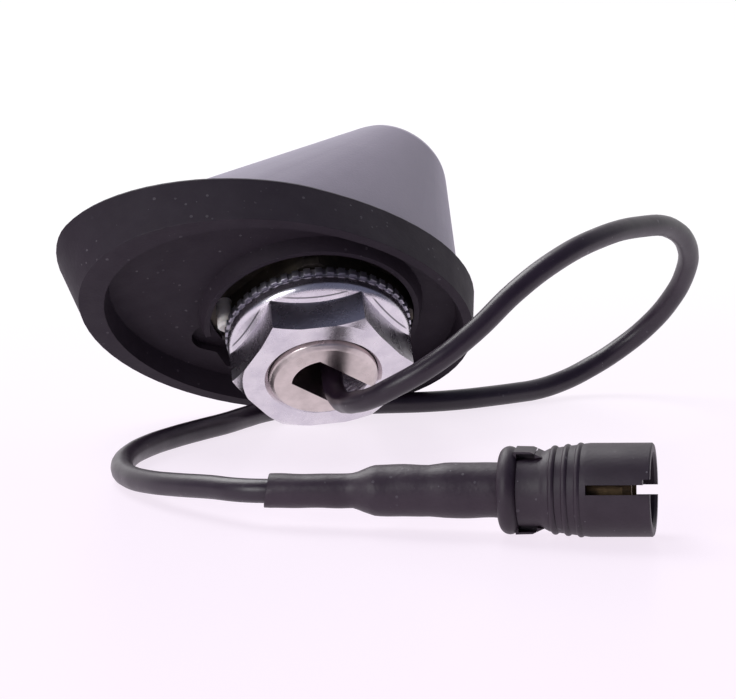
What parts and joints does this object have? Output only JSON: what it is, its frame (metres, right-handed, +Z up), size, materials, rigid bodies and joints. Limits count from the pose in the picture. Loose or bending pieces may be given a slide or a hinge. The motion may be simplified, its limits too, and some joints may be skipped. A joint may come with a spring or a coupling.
{
  "type": "car antenna base with coaxial lead",
  "caption": "Car roof antenna base with a leaning housing, rubber gasket, clamping nut on a slotted stud, and a short coaxial lead with a ribbed push-on connector.",
  "frame": {"origin": "on the table plane, at the middle of the base's bounding box, without the lead and its connector", "axes": "+Z up from the table the part rests on; +X along the base's longer extent on the table; the base lies tipped over on its nut and its gasket's rim, and the stud points to -Y and down"},
  "size_m": [0.0843, 0.1058, 0.037],
  "materials": {
    "gasket_rubber": "matte",
    "housing_plastic": "fine matte moulding",
    "plated_steel": "turned and plated",
    "cast_zinc": "raw die casting",
    "screw_steel": "zinc plated",
    "nut_steel": "bright zinc plating",
    "washer_steel": "zinc plated stamping",
    "pale_plastic": "moulded",
    "board_laminate": "solder mask",
    "chip_plastic": "moulded package",
    "coil_copper": "lacquered winding",
    "capacitor_ceramic": "fired",
    "contact_brass": "plated, satin",
    "lead_jacket": "satin jacket",
    "shrink_plastic": "heat-shrink tube",
    "connector_plastic": "moulded, satin",
    "white_plastic": "moulded"
  },
  "bodies": {
    "root": {"rubber_gasket": "gasket_rubber", "antenna_housing": "housing_plastic", "mast_socket": "plated_steel", "carrier_plate": "cast_zinc", "housing_screws": "screw_steel", "threaded_stud": "plated_steel", "flange_nut": "nut_steel", "toothed_washer": "washer_steel", "locating_peg": "pale_plastic", "circuit_board": "board_laminate", "board_screws": "screw_steel", "amplifier_chip": "chip_plastic", "choke_coil": "coil_copper", "chip_capacitors": "capacitor_ceramic", "mast_contact": "contact_brass", "inner_lead": "lead_jacket", "lead_ferrule": "contact_brass", "coax_lead": "lead_jacket", "shrink_sleeve": "shrink_plastic", "crimp_ferrule": "contact_brass", "connector_body": "connector_plastic", "outer_contact": "contact_brass", "contact_insulator": "white_plastic", "centre_contact": "contact_brass"}
  },
  "joints": []
}
